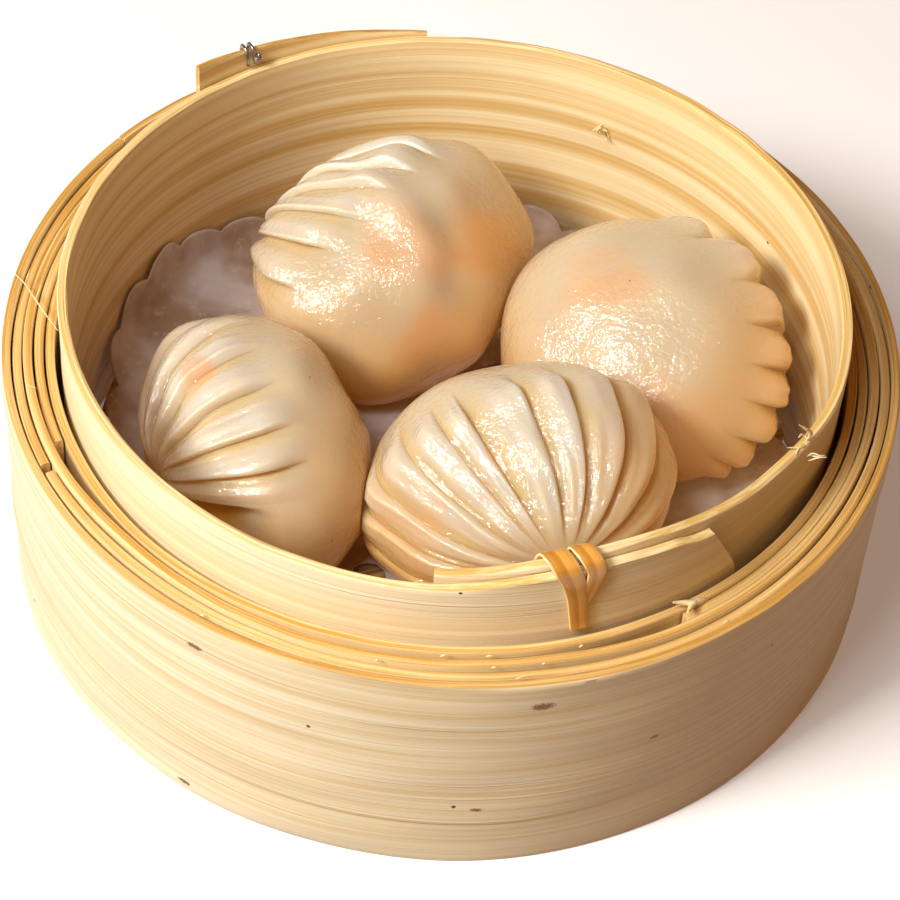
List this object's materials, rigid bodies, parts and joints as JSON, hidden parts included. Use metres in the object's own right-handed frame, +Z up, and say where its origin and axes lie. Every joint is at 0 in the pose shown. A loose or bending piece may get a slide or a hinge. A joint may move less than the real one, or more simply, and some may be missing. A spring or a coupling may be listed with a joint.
{
  "type": "har gow dumplings in a bamboo steaming basket",
  "caption": "Pleated steamed har gow dumplings on a scalloped paper liner inside a round bamboo steaming basket with a raised inner hoop.",
  "frame": {"origin": "middle of the ring that the basket stands on, at the height of the surface under it", "axes": "+Z up through the open top, -Y towards the lashed lap of the inner hoop, +X to the right of that"},
  "size_m": [0.1632, 0.1636, 0.0666],
  "materials": {
    "bamboo_outer": "split bamboo, dry and matt, with fine straight grain",
    "bamboo_hoop": "split bamboo, satin inside, with ringed growth lines",
    "bamboo_bands": "edges of split bamboo, golden",
    "bamboo_floor": "steamed bamboo slats, dark and damp",
    "cane": "split cane, polished",
    "steel_wire": "dull drawn wire",
    "paper": "damp greaseproof paper, slightly see-through",
    "dough": "steamed wheat-starch wrapper, see-through and wet, with pink filling behind it"
  },
  "bodies": {
    "root": {"inner_hoop": "bamboo_hoop", "back_binding": "bamboo_bands", "outer_band": "bamboo_outer", "second_band": "bamboo_bands", "third_band": "bamboo_bands", "fourth_band": "bamboo_bands", "fifth_band": "bamboo_bands", "cane_lashing_wide": "cane", "cane_lashing_narrow": "cane", "wire_stitch_1": "steel_wire", "wire_stitch_2": "steel_wire", "floor_slat_1": "bamboo_floor", "floor_slat_2": "bamboo_floor", "floor_slat_3": "bamboo_floor", "floor_slat_4": "bamboo_floor", "floor_slat_5": "bamboo_floor", "floor_slat_6": "bamboo_floor", "floor_slat_7": "bamboo_floor", "floor_slat_8": "bamboo_floor", "floor_slat_9": "bamboo_floor", "floor_slat_10": "bamboo_floor", "floor_slat_11": "bamboo_floor", "floor_batten_1": "bamboo_floor", "floor_batten_2": "bamboo_floor", "paper_liner": "paper", "har_gow_front": "dough", "har_gow_left": "dough", "har_gow_back": "dough", "har_gow_right": "dough"}
  },
  "joints": []
}
